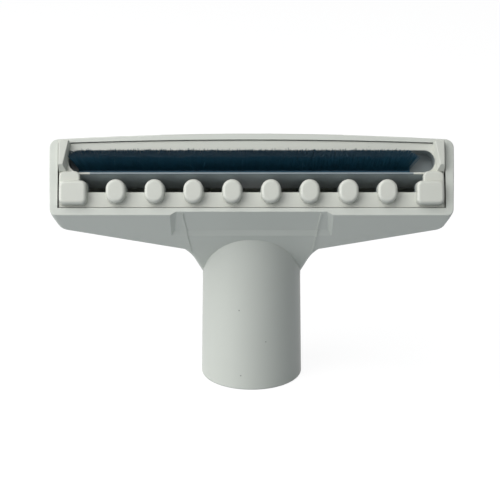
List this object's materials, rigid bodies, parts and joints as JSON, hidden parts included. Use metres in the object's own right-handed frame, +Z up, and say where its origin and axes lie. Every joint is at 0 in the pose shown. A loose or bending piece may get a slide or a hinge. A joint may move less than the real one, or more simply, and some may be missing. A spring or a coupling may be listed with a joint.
{
  "type": "vacuum upholstery nozzle",
  "caption": "Wide upholstery nozzle for a vacuum cleaner, with a round hose socket, a row of oval pegs and a dark brush strip in its mouth.",
  "frame": {"origin": "centre of the hose socket's open end, on which the nozzle stands", "axes": "+Z up along the socket's axis, +X across the width of the mouth, -Y to the front, where the mouth looks"},
  "size_m": [0.15, 0.0518, 0.1032],
  "materials": {
    "housing_plastic": "fine matt moulded",
    "insert_plastic": "satin moulded",
    "pile": "dense cut bristle"
  },
  "bodies": {
    "root": {"housing": "housing_plastic", "peg_insert": "insert_plastic", "brush_strip": "pile"}
  },
  "joints": []
}
